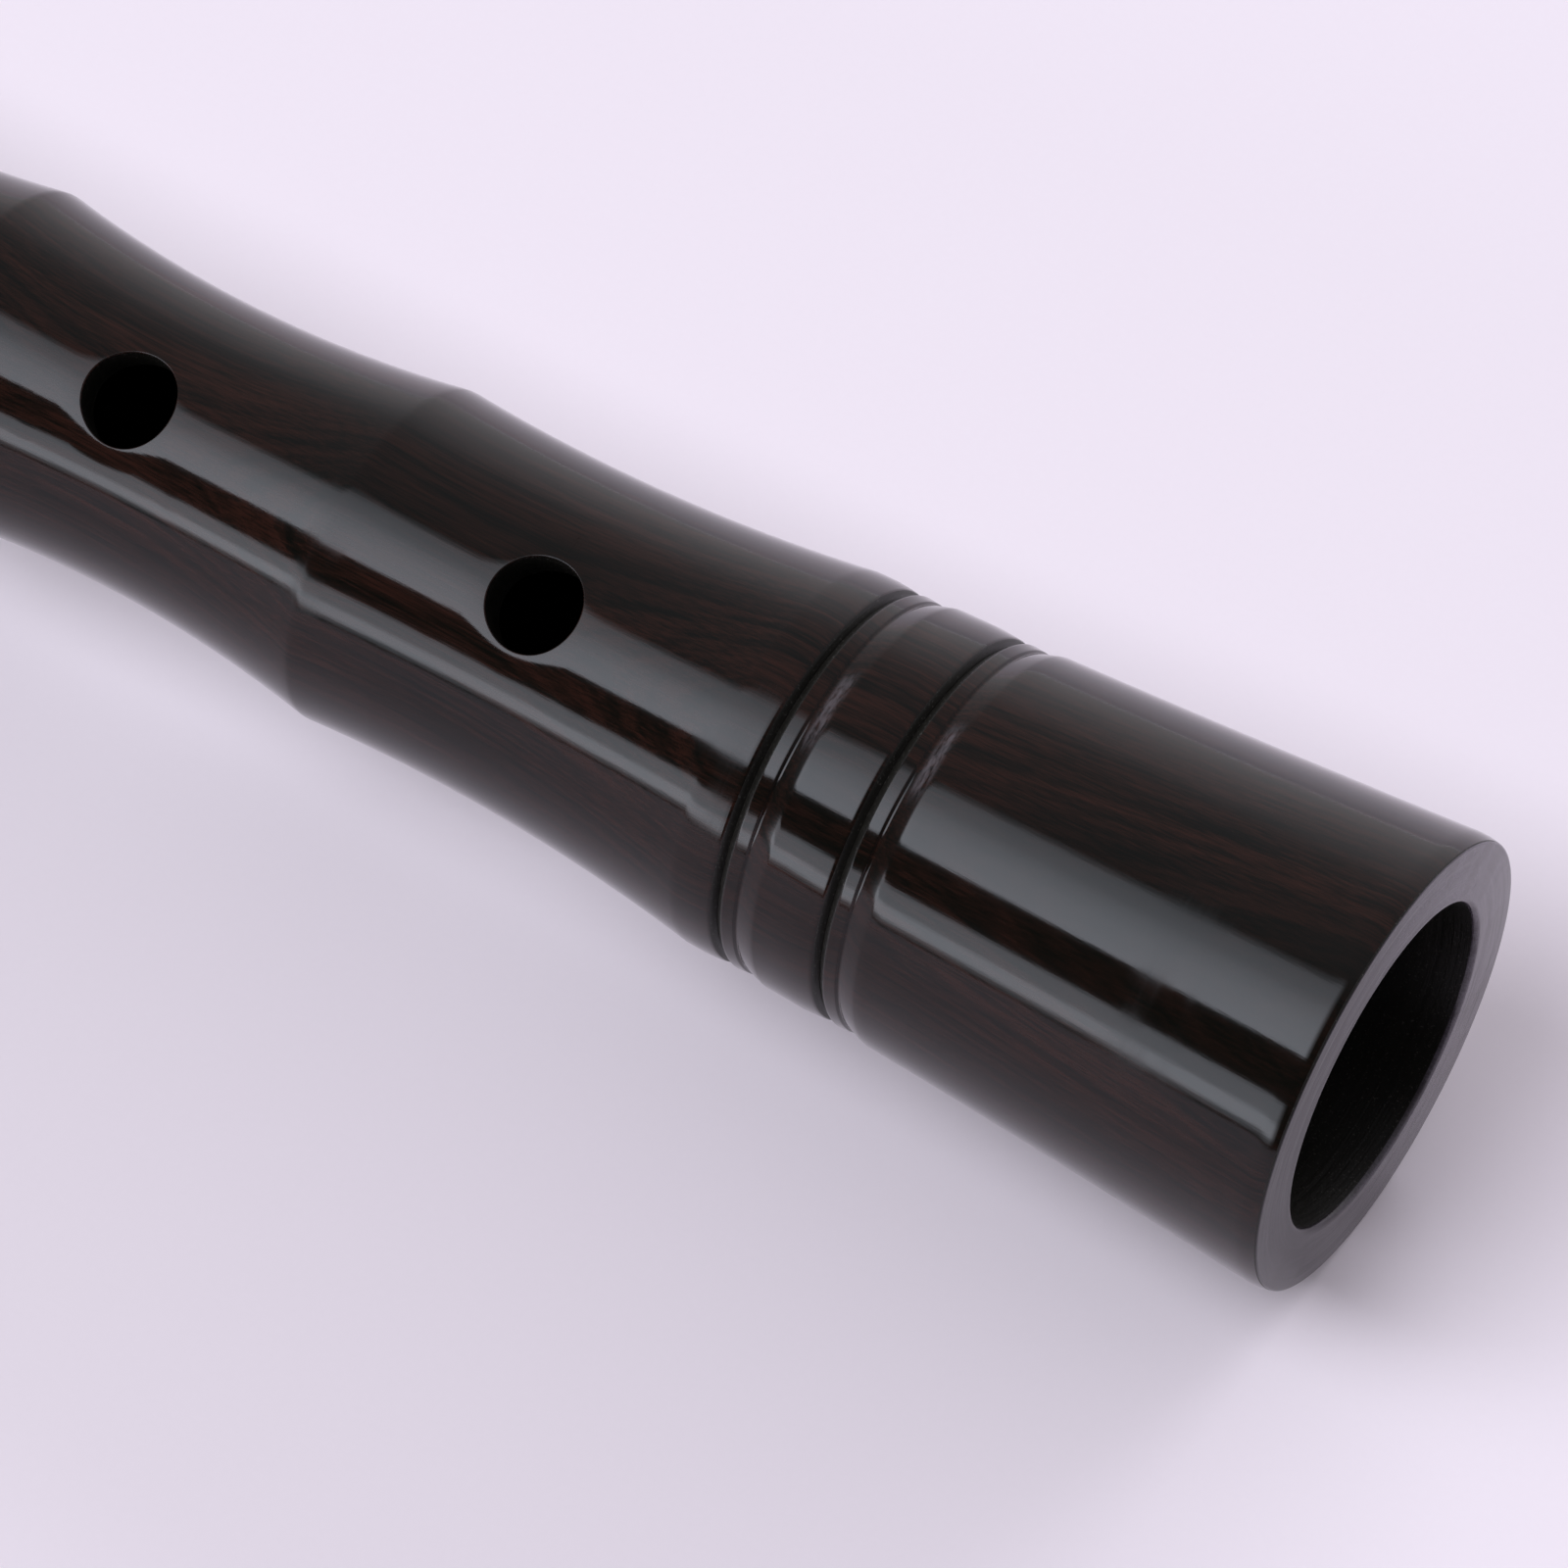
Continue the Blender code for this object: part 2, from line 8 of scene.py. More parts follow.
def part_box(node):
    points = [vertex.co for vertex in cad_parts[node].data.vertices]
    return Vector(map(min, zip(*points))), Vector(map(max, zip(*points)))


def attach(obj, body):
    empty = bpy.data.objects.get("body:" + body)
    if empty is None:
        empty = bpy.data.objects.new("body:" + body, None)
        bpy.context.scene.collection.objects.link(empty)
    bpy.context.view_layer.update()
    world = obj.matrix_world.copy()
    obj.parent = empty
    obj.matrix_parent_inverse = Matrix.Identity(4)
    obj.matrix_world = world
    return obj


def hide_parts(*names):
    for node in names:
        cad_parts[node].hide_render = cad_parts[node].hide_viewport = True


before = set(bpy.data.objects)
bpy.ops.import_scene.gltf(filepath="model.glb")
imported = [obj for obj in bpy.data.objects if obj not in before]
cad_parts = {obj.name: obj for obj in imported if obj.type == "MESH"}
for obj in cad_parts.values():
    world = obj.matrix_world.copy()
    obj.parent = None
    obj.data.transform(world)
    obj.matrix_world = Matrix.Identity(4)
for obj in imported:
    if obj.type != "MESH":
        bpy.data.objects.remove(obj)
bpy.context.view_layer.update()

# The stem is one length of dark rosewood-like blackwood, turned outside, bored to a cone inside and
# polished with oil. Its open foot flares to seat a bell, two cut rings mark where the bell's collar
# ends, and bamboo-like nodes stand between the finger holes, whose edges are eased for the fingertips.
mm = 0.001
foot_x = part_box("stem")[1][0]
stem_length = foot_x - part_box("stem")[0][0]
foot_radius = 15.0 * mm
axis_z = foot_radius
axis_centre = (foot_x, 0.0, axis_z)
foot_edge_fall = 0.26 * mm
foot_edge_reach = 1.5 * mm
foot_edge_chamfer = 0.05 * mm
flare_depth = 0.11 * mm
lower_ring = 31.55 * mm
lower_ring_radius = 12.95 * mm
upper_ring = 38.95 * mm
ring_line_half = 0.45 * mm
ring_line_depth = 0.46 * mm
ring_land_width = 0.95 * mm
ring_slope_width = 1.4 * mm
ring_slope_depth = 0.38 * mm
ring_shoulder_width = 1.9 * mm
ring_shoulder_fall = 0.27 * mm
shoulder = 42.0 * mm
shoulder_radius = 12.58 * mm
first_node = 70.9 * mm
node_count = 8
node_blend = 0.06 * mm
hole_count = 8
thumb_hole = 6
first_hole = 56.85 * mm
hole_pitch = 30.25 * mm
hole_radius = 3.08 * mm
hole_tilt = math.radians(-25.5)
ferrule_foot = stem_length - 16.0 * mm
ferrule_seat_radius = 8.6 * mm
head_shoulder_radius = 9.3 * mm
socket_floor = stem_length - 26.0 * mm
socket_radius = 6.4 * mm
bore_edge_round = 0.35 * mm
bore_flare_length = 48.0 * mm
stem_steps = 168


def waist(station, start, end, start_radius, end_radius, depth):
    """Radius of a hollow waist between two stations, and rising on past both."""
    share = (station - start) / (end - start)
    return start_radius + (end_radius - start_radius) * share - depth * 4 * share * (1 - share)


def rounded_least(first, second, blend):
    """The lesser of two values, with the corner where they cross rounded off."""
    mix = max(0.0, 1 - abs(first - second) / blend)
    return min(first, second) - mix * mix * blend / 4


def node_station(index):
    return first_node + hole_pitch * index


def node_radius(index):
    return (11.3 - 0.3 * index) * mm


def ring_cuts(station):
    """What both ornament rings take away: a slope, a step up to a land, a deep V and a worn shoulder."""
    taken = 0.0
    for ring in (lower_ring, upper_ring):
        steepness = ring_line_depth / ring_line_half
        taken -= rounded_least(abs(station - ring) * steepness - ring_line_depth, 0.0, 0.09 * mm)
        if station > ring:
            taken += ring_shoulder_fall * max(0.0, 1 - (station - ring) / ring_shoulder_width) ** 2
        else:
            share = max(0.0, 1 - (ring - ring_line_half - ring_land_width - station) / ring_slope_width)
            taken += ring_slope_depth * min(share ** 1.1, max(5 - 4 * share, 1.08 - 0.44 * share))
    return taken


def stem_radius(station):
    """Outer radius of the wood at a station up from the foot."""
    if station < lower_ring:
        barrel = waist(station, 0.0, lower_ring, foot_radius, lower_ring_radius, flare_depth)
        return barrel - ring_cuts(station)
    if station < shoulder:
        share = (station - lower_ring) / (shoulder - lower_ring)
        return lower_ring_radius + (shoulder_radius - lower_ring_radius) * share - ring_cuts(station)
    waists = [waist(station, shoulder, first_node, shoulder_radius, node_radius(0), 0.8 * mm)]
    for index in range(node_count - 1):
        waists.append(waist(station, node_station(index), node_station(index + 1), node_radius(index),
                            node_radius(index + 1), (1.28 - 0.05 * index) * mm))
    waists.append(waist(station, node_station(node_count - 1), ferrule_foot,
                        node_radius(node_count - 1), head_shoulder_radius, 0.5 * mm))
    waists.sort()
    return rounded_least(waists[0], waists[1], node_blend)


def bore_radius(station):
    """Radius of the conical bore, which flares towards the foot."""
    flare = max(0.0, 1 - station / bore_flare_length) ** 2
    return (8.8 - 4.6 * station / socket_floor + 1.9 * flare) * mm


def crowded(start, end, count):
    """Stations between two ends, closer together near both, without the last."""
    return [start + (end - start) * (1 - math.cos(math.pi * step / count)) / 2 for step in range(count)]


def evenly(middle, reach, count):
    """Stations at even steps, up to a reach on both sides of a middle."""
    return [middle + reach * (2 * step / (count - 1) - 1) for step in range(count)]


def turned(name, outline, steps, finish):
    """Turn a closed outline of (radius, station) points about the instrument's axis."""
    shape = bmesh.new()
    points = [shape.verts.new((foot_x - station, 0.0, axis_z + radius)) for radius, station in outline]
    edges = [shape.edges.new(pair) for pair in zip(points, points[1:] + points[:1])]
    bmesh.ops.spin(shape, geom=points + edges, cent=axis_centre, axis=(1.0, 0.0, 0.0),
                   angle=math.tau, steps=steps, use_merge=True)
    bmesh.ops.recalc_face_normals(shape, faces=shape.faces)
    return keep(name, shape, finish)


def keep(name, shape, finish):
    """Store a finished shape as a smooth piece of the scene with its finish."""
    mesh = bpy.data.meshes.new(name)
    shape.to_mesh(mesh)
    shape.free()
    mesh.shade_smooth()
    mesh.set_sharp_from_angle(angle=math.radians(40))
    mesh.materials.append(finish.material)
    piece = bpy.data.objects.new(name, mesh)
    bpy.context.scene.collection.objects.link(piece)
    return piece


class Value:
    """A shader socket that can be used in sums."""

    def __init__(self, shading, socket):
        self.shading = shading
        self.socket = socket

    def worked(self, operation, first, second):
        return self.shading.node("ShaderNodeMath", {"operation": operation}, {0: first, 1: second})

    def __add__(self, other):
        return self.worked("ADD", self, other)

    __radd__ = __add__

    def __sub__(self, other):
        return self.worked("SUBTRACT", self, other)

    def __rsub__(self, other):
        return self.worked("SUBTRACT", other, self)

    def __mul__(self, other):
        return self.worked("MULTIPLY", self, other)

    __rmul__ = __mul__

    def __truediv__(self, other):
        return self.worked("DIVIDE", self, other)

    def __abs__(self):
        return self.worked("ABSOLUTE", self, 0.0)


class Shading:
    """The nodes of one finish, lamp or sky, built up from expressions."""

    def __init__(self, owner):
        owner.use_nodes = True
        self.tree = owner.node_tree
        self.material = owner

    def node(self, kind, settings, sockets, output=0):
        made = self.tree.nodes.new(kind)
        for name, setting in settings.items():
            if name == "stops":
                self.ramp(made.color_ramp, setting)
            else:
                setattr(made, name, setting)
        for key, value in sockets.items():
            self.feed(made.inputs[key], value)
        return Value(self, made.outputs[output])

    def ramp(self, ramp, stops):
        while len(ramp.elements) < len(stops):
            ramp.elements.new(1.0)
        for element, (position, shade) in zip(ramp.elements, stops):
            element.position = position
            element.color = shade

    def feed(self, socket, value):
        if isinstance(value, Value):
            self.tree.links.new(value.socket, socket)
        else:
            socket.default_value = value

    def set(self, kind, sockets):
        """Feed sockets of the tree's own shader."""
        shader = next(node for node in self.tree.nodes if node.type == kind)
        for name, value in sockets.items():
            self.feed(shader.inputs[name], value)

    def place(self, size, turn=(0.0, 0.0, 0.0), centre=axis_centre):
        """Object coordinates measured from a centre, turned, in units of a pattern's size."""
        here = self.node("ShaderNodeTexCoord", {}, {}, "Object")
        return self.node("ShaderNodeMapping", {"vector_type": "TEXTURE"},
                         {"Vector": here, "Location": centre, "Rotation": turn, "Scale": size})

    def noise(self, where, detail=3.0, roughness=0.55, distortion=0.0):
        return self.node("ShaderNodeTexNoise", {}, {"Vector": where, "Scale": 1.0, "Detail": detail,
                                                    "Roughness": roughness, "Distortion": distortion})

    def part(self, vector, axis):
        return self.node("ShaderNodeSeparateXYZ", {}, {0: vector}, axis)

    def rise(self, value, low, high, start=0.0, end=1.0):
        """A smooth step from start to end as a value goes from low to high."""
        return self.node("ShaderNodeMapRange", {"interpolation_type": "SMOOTHSTEP"},
                         {"Value": value, "From Min": low, "From Max": high, "To Min": start, "To Max": end})

    def mix(self, share, first, second):
        return self.node("ShaderNodeMix", {"data_type": "RGBA"}, {0: share, 6: first, 7: second}, 2)

    def bump(self, height, distance, under=None):
        sockets = {"Height": height, "Distance": distance, "Strength": 1.0}
        if under is not None:
            sockets["Normal"] = under
        return self.node("ShaderNodeBump", {}, sockets)

    def off_axis(self, unit):
        """Distance from the instrument's axis."""
        flat = self.node("ShaderNodeVectorMath", {"operation": "MULTIPLY"},
                         {0: self.place((unit, unit, unit)), 1: (0.0, 1.0, 1.0)})
        return self.node("ShaderNodeVectorMath", {"operation": "LENGTH"}, {0: flat}, 1)

    def turning_marks(self, pitch):
        """Fine rings round the instrument's axis, as a lathe or a polishing cloth leaves them."""
        along = self.part(self.place((pitch, pitch, pitch)), 0)
        drift = self.noise(self.place((9 * mm, 9 * mm, 9 * mm)), 2.0) * 3
        rings = self.node("ShaderNodeCombineXYZ", {}, {0: along, 1: self.off_axis(pitch), 2: drift})
        return self.noise(rings, 2.0, 0.6)


def finish(name):
    return Shading(bpy.data.materials.new(name))


def shade(red, green, blue):
    return (red, green, blue, 1.0)


# The wood's sides show its growth layers as fine red-brown lines in near-black. The layers lie flat across
# one direction, so each waist cuts them to arches. The polish is deep, and the cloth has left faint rings round
# the nodes. On the foot side of each ring, whitish specks like dried polish are painted only along the upper
# side that catches the light: a painted highlight.
side_wood = finish("polished_blackwood")
layer_turn = (math.radians(35), math.radians(0.6), math.radians(-0.4))
layers = side_wood.noise(side_wood.place((24 * mm, 3.6 * mm, 0.30 * mm), layer_turn), 4.0, 0.62, 0.2)
fibres = side_wood.noise(side_wood.place((4.2 * mm, 0.14 * mm, 0.14 * mm), layer_turn), 3.0, 0.6)
zones = side_wood.noise(side_wood.place((52 * mm, 12 * mm, 3.4 * mm), layer_turn), 2.0)
outermost = side_wood.rise(abs(side_wood.part(side_wood.place((mm, mm, mm), layer_turn), 2)), 12.2, 13.8, 1.0, 0.4)
red_lines = side_wood.rise(layers * 0.55 + fibres * 0.45, 0.36, 0.70) * outermost
red_lines = red_lines * side_wood.rise(zones, 0.28, 0.56, 0.22, 1.0)
wood = side_wood.mix(red_lines, shade(0.0026, 0.0027, 0.0019), shade(0.025, 0.0090, 0.0060))
station_back = side_wood.part(side_wood.place((mm, mm, mm)), 0)
specks = side_wood.noise(side_wood.place((0.26 * mm, 1.1 * mm, 1.1 * mm)), 3.0, 0.6)
patches = side_wood.noise(side_wood.place((2.5 * mm, 6 * mm, 6 * mm)), 2.0)
highlight_specks = 0.0
uncleaned = 0.0
for ring in (lower_ring, upper_ring):
    off_hollow = abs(station_back + (ring - 2.1 * mm) / mm)
    uncleaned = uncleaned + side_wood.rise(off_hollow, 0.45, 0.75, 1.0, 0.0)
    highlight_specks = highlight_specks + side_wood.rise(off_hollow, 0.15, 0.6, 1.0, 0.0)
# Painted highlight: whitish specks only along the upper side of each hollow, where the light catches.
off_highlight_side = abs(side_wood.part(side_wood.place((mm, mm, mm)), 1) + 3.2)
highlight_specks = highlight_specks * side_wood.rise(specks, 0.30, 0.68) * side_wood.rise(off_highlight_side, 1.4, 3.2, 1.0, 0.0)
wood = side_wood.mix(highlight_specks * 0.6, wood, shade(0.13, 0.115, 0.125))
from_node = side_wood.node("ShaderNodeMath", {"operation": "PINGPONG"},
                           {0: 0.0 - station_back - (first_node - 2 * hole_pitch) / mm, 1: hole_pitch / 2 / mm})
rubbed = side_wood.rise(from_node, 0.3, 4.0, 1.0, 0.0) * side_wood.rise(patches, 0.36, 0.58)
rub_marks = side_wood.turning_marks(0.09 * mm)
haze = side_wood.noise(side_wood.place((14 * mm, 9 * mm, 9 * mm)), 3.0)
side_wood.set("BSDF_PRINCIPLED", {"Base Color": wood, "IOR": 1.6, "Specular Tint": shade(0.365, 0.375, 0.388),
              "Roughness": 0.05 + haze * 0.05 + uncleaned * 0.05 + rubbed * rub_marks * 0.14,
              "Normal": side_wood.bump(rub_marks * rubbed, 0.003 * mm,
                                    side_wood.bump(fibres, 0.0012 * mm))})

# The cut end of the foot is sanded slightly domed but not polished: end grain with fine pores, in faint lathe
# rings. Its colour is painted darker on the front side and paler on the back: painted shade and light for
# the shadowed and the lit sheet that the face mirrors.
end_wood = finish("sanded_end_grain")
pores = end_wood.noise(end_wood.place((0.5 * mm, 0.12 * mm, 0.12 * mm)), 3.0, 0.7)
end_rings = end_wood.turning_marks(0.16 * mm)
end_waves = end_wood.turning_marks(1.1 * mm)
clouds = end_wood.noise(end_wood.place((6 * mm, 4 * mm, 1.2 * mm), layer_turn), 3.0)
grain = end_wood.rise(pores, 0.32, 0.66)
# Painted shade on the front of the end face and painted light on its back.
shaded_side_tone = end_wood.mix(grain, shade(0.007, 0.006, 0.007), shade(0.022, 0.018, 0.023))
lit_side_tone = end_wood.mix(grain, shade(0.070, 0.061, 0.074), shade(0.115, 0.100, 0.124))
toward_lit_side = end_wood.rise(end_wood.part(end_wood.place((mm, mm, mm)), 1), -13.0, 12.0)
sanded = end_wood.mix(toward_lit_side, shaded_side_tone, lit_side_tone)
sanded = end_wood.mix(end_wood.rise(clouds, 0.40, 0.66, 0.0, 0.5), sanded, shade(0.019, 0.012, 0.013))
end_wood.set("BSDF_PRINCIPLED", {"Base Color": sanded, "IOR": 1.43, "Roughness": 0.09 + pores * 0.08 + end_rings * 0.06,
             "Normal": end_wood.bump(pores * 0.5 + end_rings, 0.005 * mm,
                                     end_wood.bump(end_waves * 0.06 - end_wood.off_axis(mm) * 0.08, mm))})

# The bore and the walls of the holes are reamed and soaked with oil, dull and black. So are the cut rings,
# which hold old polish and dirt.
bore_wood = finish("oiled_bore")
reaming = bore_wood.turning_marks(0.2 * mm)
grit = bore_wood.noise(bore_wood.place((0.14 * mm, 0.14 * mm, 0.14 * mm)), 2.0, 0.6)
soaked_wood = bore_wood.mix(reaming, shade(0.004, 0.004, 0.003), shade(0.009, 0.008, 0.006))
soaked_wood = bore_wood.mix(bore_wood.rise(grit, 0.60, 0.72, 0.0, 0.5), soaked_wood, shade(0.10, 0.095, 0.085))
bore_wood.set("BSDF_PRINCIPLED", {"Base Color": soaked_wood, "Specular IOR Level": 0.3,
              "Roughness": 0.32 + reaming * 0.2, "Normal": bore_wood.bump(reaming, 0.02 * mm)})

patch_half = 5.35 * mm
hole_stations = [first_hole + hole_pitch * index for index in range(hole_count)]


def clear_of_holes(stations, reach):
    return [station for station in stations if all(abs(station - hole) > reach for hole in hole_stations)]


outer_rows = [foot_edge_reach * step for step in (0.03, 0.10, 0.18, 0.28, 0.40, 0.54, 0.70, 0.85)]
outer_rows += crowded(foot_edge_reach, lower_ring - 3.0 * mm, 12)
for ring in (lower_ring, upper_ring):
    outer_rows += evenly(ring - 2.2 * mm, 0.65 * mm, 9) + evenly(ring - 1.34 * mm, 0.08 * mm, 5)
    outer_rows += evenly(ring - 0.95 * mm, 0.3 * mm, 5) + evenly(ring, 0.6 * mm, 21)
outer_rows += evenly((lower_ring + upper_ring) / 2 - 1.1 * mm, 1.9 * mm, 4)
outer_rows += evenly(upper_ring + 1.8 * mm, 0.9 * mm, 3)
waist_ends = [shoulder] + [node_station(index) for index in range(node_count)] + [ferrule_foot]
for start, end in zip(waist_ends, waist_ends[1:]):
    outer_rows += clear_of_holes(crowded(start, end, 18), patch_half + 0.2 * mm)
for hole in hole_stations:
    outer_rows += evenly(hole, patch_half, 17)
outer_rows = sorted(outer_rows) + [ferrule_foot]
inner_rows = [1.2 * mm, 2.6 * mm] + [5 * mm * step for step in range(1, 11)]
for hole in hole_stations:
    inner_rows += evenly(hole, 4.2 * mm, 12) + [hole - hole_pitch / 2]
inner_rows = sorted(row for row in set(inner_rows) if row < socket_floor)


def edge_fall(station):
    """How far the foot's outer edge, rolled over by polishing, falls back at a station."""
    return foot_edge_fall * max(0.0, 1 - station / foot_edge_reach) ** 2.2


foot_bore = bore_radius(0.0)
foot_edge_radius = foot_radius - foot_edge_fall - foot_edge_chamfer
outside = [(foot_bore + bore_edge_round + 0.1 * mm, 0.0), (foot_edge_radius - 0.1 * mm, 0.0), (foot_edge_radius, 0.0)]
outside += [(stem_radius(station) - edge_fall(station), station) for station in outer_rows]
head = [(ferrule_seat_radius, ferrule_foot), (ferrule_seat_radius, stem_length),
        (socket_radius, stem_length), (socket_radius, socket_floor),
        (bore_radius(socket_floor), socket_floor)]
inside = [(bore_radius(station), station) for station in reversed(inner_rows)]
inside += [(foot_bore + bore_edge_round * (1 - math.sin(turn)), bore_edge_round * (1 - math.cos(turn)))
           for turn in (math.pi / 2 * (1 - step / 6) for step in range(7))]
stem = turned("stem_wood", outside + head + inside, stem_steps, side_wood)
stem.data.materials.append(end_wood.material)
stem.data.materials.append(bore_wood.material)


def hole_frame(index):
    """Middle of a finger hole on the stem's axis, and the ways up the stem, across it and outwards."""
    tilt = hole_tilt + (math.pi if index == thumb_hole else 0.0)
    out = Vector((0.0, math.sin(tilt), math.cos(tilt)))
    up_stem = Vector((-1.0, 0.0, 0.0))
    return Vector((foot_x - hole_stations[index], 0.0, axis_z)), up_stem, out.cross(up_stem), out


def on_wall(hole, along, across, radius_at, drop):
    """A point over a hole, a way along and across, on a round wall less a drop."""
    middle, up_stem, side, out = hole
    radius = radius_at(foot_x - middle.x + along)
    return middle + up_stem * along + side * across + out * (math.sqrt(radius * radius - across * across) - drop)


def open_patch(shape, hole, radius_at, half):
    """Take away the square of wall over a hole, and give the edges round it."""
    middle, up_stem, side, out = hole
    patch = set()
    for face in shape.faces:
        if abs(face.verts[0].co.x - middle.x) > 2 * half:
            continue
        offset = face.calc_center_median() - middle
        along, across = offset.dot(up_stem), offset.dot(side)
        if offset.dot(out) < 0 or abs(along) > half or abs(across) > half:
            continue
        if abs((on_wall(hole, along, across, radius_at, 0.0) - middle).dot(out) - offset.dot(out)) < 0.3 * mm:
            patch.add(face)
    border = [edge for face in patch for edge in face.edges
              if sum(other in patch for other in edge.link_faces) == 1]
    bmesh.ops.delete(shape, geom=list(patch), context="FACES")
    return border


def draw_in(shape, border, hole, rings):
    """Extrude the edges round a patch inwards, ring by ring, onto circles round the hole."""
    middle, up_stem, side, _ = hole
    spots = []
    for vert in {vert for edge in border for vert in edge.verts}:
        offset = vert.co - middle
        along, across = offset.dot(up_stem), offset.dot(side)
        spots.append((math.atan2(across, along), along, across, vert))
    spots.sort(key=lambda spot: spot[0])
    even = math.tau / len(spots)
    lead = sum(spot[0] - even * order for order, spot in enumerate(spots)) / len(spots)
    track = {spot[3]: (spot[1], spot[2], lead + even * order) for order, spot in enumerate(spots)}
    for share, ring_radius, radius_at, drop in rings:
        made = bmesh.ops.extrude_edge_only(shape, edges=border)["geom"]
        moved = {}
        for vert in (item for item in made if isinstance(item, bmesh.types.BMVert)):
            source = next(edge.other_vert(vert) for edge in vert.link_edges if edge.other_vert(vert) in track)
            along, across, turn = moved[vert] = track[source]
            along += (ring_radius * math.cos(turn) - along) * share
            across += (ring_radius * math.sin(turn) - across) * share
            vert.co = on_wall(hole, along, across, radius_at, drop)
        border = [item for item in made if isinstance(item, bmesh.types.BMEdge)
                  and all(vert in moved for vert in item.verts)]
        track = moved
    return border


# Each finger hole is drilled square to the axis. Sandpaper under a thumb dishes the wood round it, and a
# twist of the same paper takes the edge off.
lip_radius = 0.1 * mm
dish_width = 1.5 * mm
dish_depth = 0.07 * mm
lip_start = hole_radius + lip_radius
dish_rings = [(share, lip_start + dish_width, stem_radius, 0.0) for share in (0.3, 0.65, 1.0)]
for step in (0.8, 0.6, 0.42, 0.26, 0.12, 0.0):
    dish_rings.append((1.0, lip_start + dish_width * step, stem_radius, dish_depth * (1 - step) ** 2))
for step in (1, 2, 3, 4, 5, 6):
    turn = math.pi / 2 * step / 6
    dish_rings.append((1.0, lip_start - lip_radius * math.sin(turn), stem_radius,
                       dish_depth + lip_radius * (1 - math.cos(turn))))
bore_rings = [(share, hole_radius, bore_radius, 0.0) for share in (0.5, 1.0)]
shape = bmesh.new()
shape.from_mesh(stem.data)
for index in range(hole_count):
    hole = hole_frame(index)
    lip = draw_in(shape, open_patch(shape, hole, stem_radius, patch_half), hole, dish_rings)
    bore_half = min(4.2 * mm, 0.82 * bore_radius(hole_stations[index]))
    mouth = draw_in(shape, open_patch(shape, hole, bore_radius, bore_half), hole, bore_rings)
    bmesh.ops.bridge_loops(shape, edges=lip + mouth)
bmesh.ops.recalc_face_normals(shape, faces=shape.faces)
for face in shape.faces:
    middle = face.calc_center_median()
    out = Vector((0.0, middle.y, middle.z - axis_z))
    station = foot_x - middle.x
    in_cut = any(abs(station - ring) < ring_line_half for ring in (lower_ring, upper_ring))
    if face.normal.x > 0.1 and station < bore_edge_round and out.length < foot_edge_radius + foot_edge_chamfer:
        face.material_index = 1
    elif in_cut or out.length < stem_radius(station) - dish_depth - 1.2 * lip_radius:
        face.material_index = 2
shape.to_mesh(stem.data)
shape.free()
stem.data.set_sharp_from_angle(angle=math.radians(50))
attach(stem, "stem")
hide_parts("stem")

# The ferrule is a spun brass ring with a rolled bead at each end and two scribed lines, pressed over the
# head of the stem so that the tuning sleeve's cork can't split the wood.
spun_brass = finish("spun_brass")
polish_rings = spun_brass.turning_marks(0.07 * mm)
clouding = spun_brass.noise(spun_brass.place((7 * mm, 5 * mm, 5 * mm)), 5.0, 0.62)
fine_dirt = spun_brass.noise(spun_brass.place((0.5 * mm, 0.5 * mm, 0.5 * mm)), 3.0, 0.7)
tarnished = spun_brass.rise(clouding * 0.8 + fine_dirt * 0.2, 0.44, 0.64)
spun_brass.set("BSDF_PRINCIPLED", {"Metallic": 1.0,
               "Base Color": spun_brass.mix(tarnished, shade(0.86, 0.66, 0.31), shade(0.58, 0.38, 0.16)),
               "Roughness": 0.13 + tarnished * 0.15 + polish_rings * 0.09,
               "Normal": spun_brass.bump(polish_rings, 0.0015 * mm,
                                      spun_brass.bump(clouding, 0.02 * mm))})


def rolled(middle, width, radius, height, steps=10):
    """Points of a rolled bead standing on a round wall, from its high station to its low one."""
    return [(radius + height * math.sin(math.pi * step / steps),
             middle + width / 2 * math.cos(math.pi * step / steps)) for step in range(steps + 1)]


def scribed(middle, radius):
    """Points of a scribed line in a round wall, from its high station to its low one."""
    return [(radius, middle + 0.14 * mm), (radius - 0.08 * mm, middle), (radius, middle - 0.14 * mm)]


ferrule_bore = ferrule_seat_radius + 0.3 * mm
ferrule_wall = ferrule_bore + 0.7 * mm
ferrule_low = foot_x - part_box("stem_ferrule")[1][0]
ferrule = turned("ferrule_ring", [(ferrule_bore, stem_length), (ferrule_wall - 0.1 * mm, stem_length)]
                 + rolled(stem_length - 0.95 * mm, 1.7 * mm, ferrule_wall, 0.43 * mm)
                 + scribed(stem_length - 3.6 * mm, ferrule_wall) + scribed(stem_length - 4.4 * mm, ferrule_wall)
                 + scribed(ferrule_low + 4.4 * mm, ferrule_wall) + scribed(ferrule_low + 3.6 * mm, ferrule_wall)
                 + rolled(ferrule_low + 0.95 * mm, 1.7 * mm, ferrule_wall, 0.43 * mm)
                 + [(ferrule_wall - 0.1 * mm, ferrule_low), (ferrule_bore, ferrule_low)], 144, spun_brass)
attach(ferrule, "stem")
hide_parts("stem_ferrule")

# The tuning sleeve is a brass tube with a soldered flange that stops it on the stem's top and a rolled
# rim that stops the lower bead.
seat_gap = 0.3 * mm
flange_foot = stem_length + seat_gap
flange_top = flange_foot + 1.2 * mm
flange_radius = 7.6 * mm
sleeve_top = foot_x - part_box("tuning_sleeve")[0][0]
sleeve_bore = 4.5 * mm
sleeve_radius = 5.0 * mm
solder_fillet = [(sleeve_radius + 0.55 * mm * (1 - math.sin(turn)), flange_top + 0.55 * mm * (1 - math.cos(turn)))
                 for turn in (math.pi / 2 * (1 - step / 6) for step in range(7))]
flange_edge = [(flange_radius - 0.3 * mm * (1 - math.sin(turn)), flange_top - 0.3 * mm * (1 - math.cos(turn)))
               for turn in (math.pi / 2 * step / 4 for step in range(5))]
